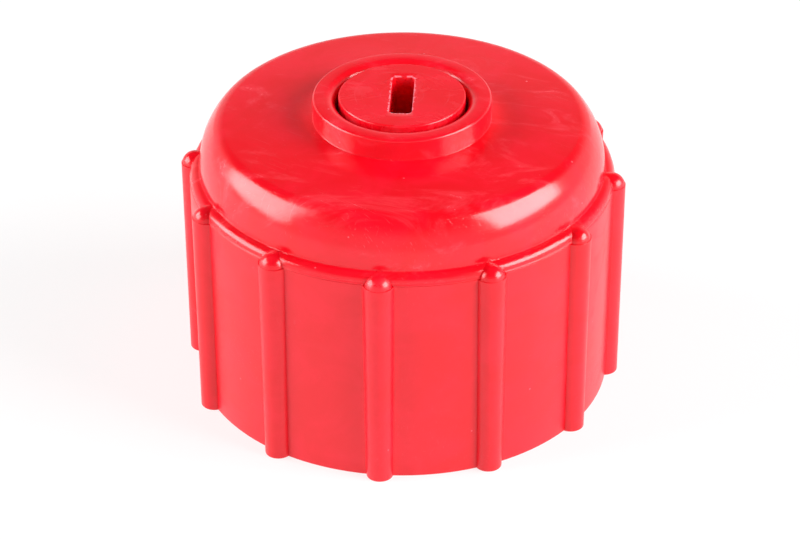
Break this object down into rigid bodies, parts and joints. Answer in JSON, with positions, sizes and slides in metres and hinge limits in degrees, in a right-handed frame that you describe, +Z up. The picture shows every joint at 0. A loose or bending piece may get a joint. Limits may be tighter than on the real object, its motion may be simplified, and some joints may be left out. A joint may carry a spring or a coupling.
{
  "type": "screw-on filler cap",
  "caption": "Ribbed screw-on filler cap of a water-filled barrier, with a domed crown and a slotted vent plug that unscrews from it.",
  "frame": {"origin": "centre of the open mouth's rim, on the plane that the cap stands on", "axes": "+Z up the cap's axis from the mouth to the vent plug; -Y through the middle of one grip rib; the plug's slot lies within a few degrees of Y"},
  "size_m": [0.1156, 0.1156, 0.0803],
  "materials": {
    "cap_plastic": "semi-gloss moulded polyethylene, red",
    "plug_plastic": "semi-gloss moulded polyethylene, red",
    "gasket_rubber": "matte EPDM sheet rubber, black",
    "seal_rubber": "matte EPDM rubber, black"
  },
  "bodies": {
    "cap": {"cap_shell": "cap_plastic", "neck_gasket": "gasket_rubber"},
    "seal": {"plug_seal": "seal_rubber"},
    "plug": {"centre_plug": "plug_plastic"}
  },
  "joints": [
    {"name": "plug_lift", "type": "slide", "parent": "cap", "child": "seal", "axis": [0, 0, 1], "range_m": [0, 0.0105]},
    {"name": "plug_turn", "type": "hinge", "parent": "seal", "child": "plug", "pos_m": [0, 0, 0.075], "axis": [0, 0, 1], "range_deg": [0, 1260]}
  ],
  "couplings": [
    {"joint": "plug_lift", "follows": "plug_turn", "m_per_rad": 0.00047746}
  ]
}
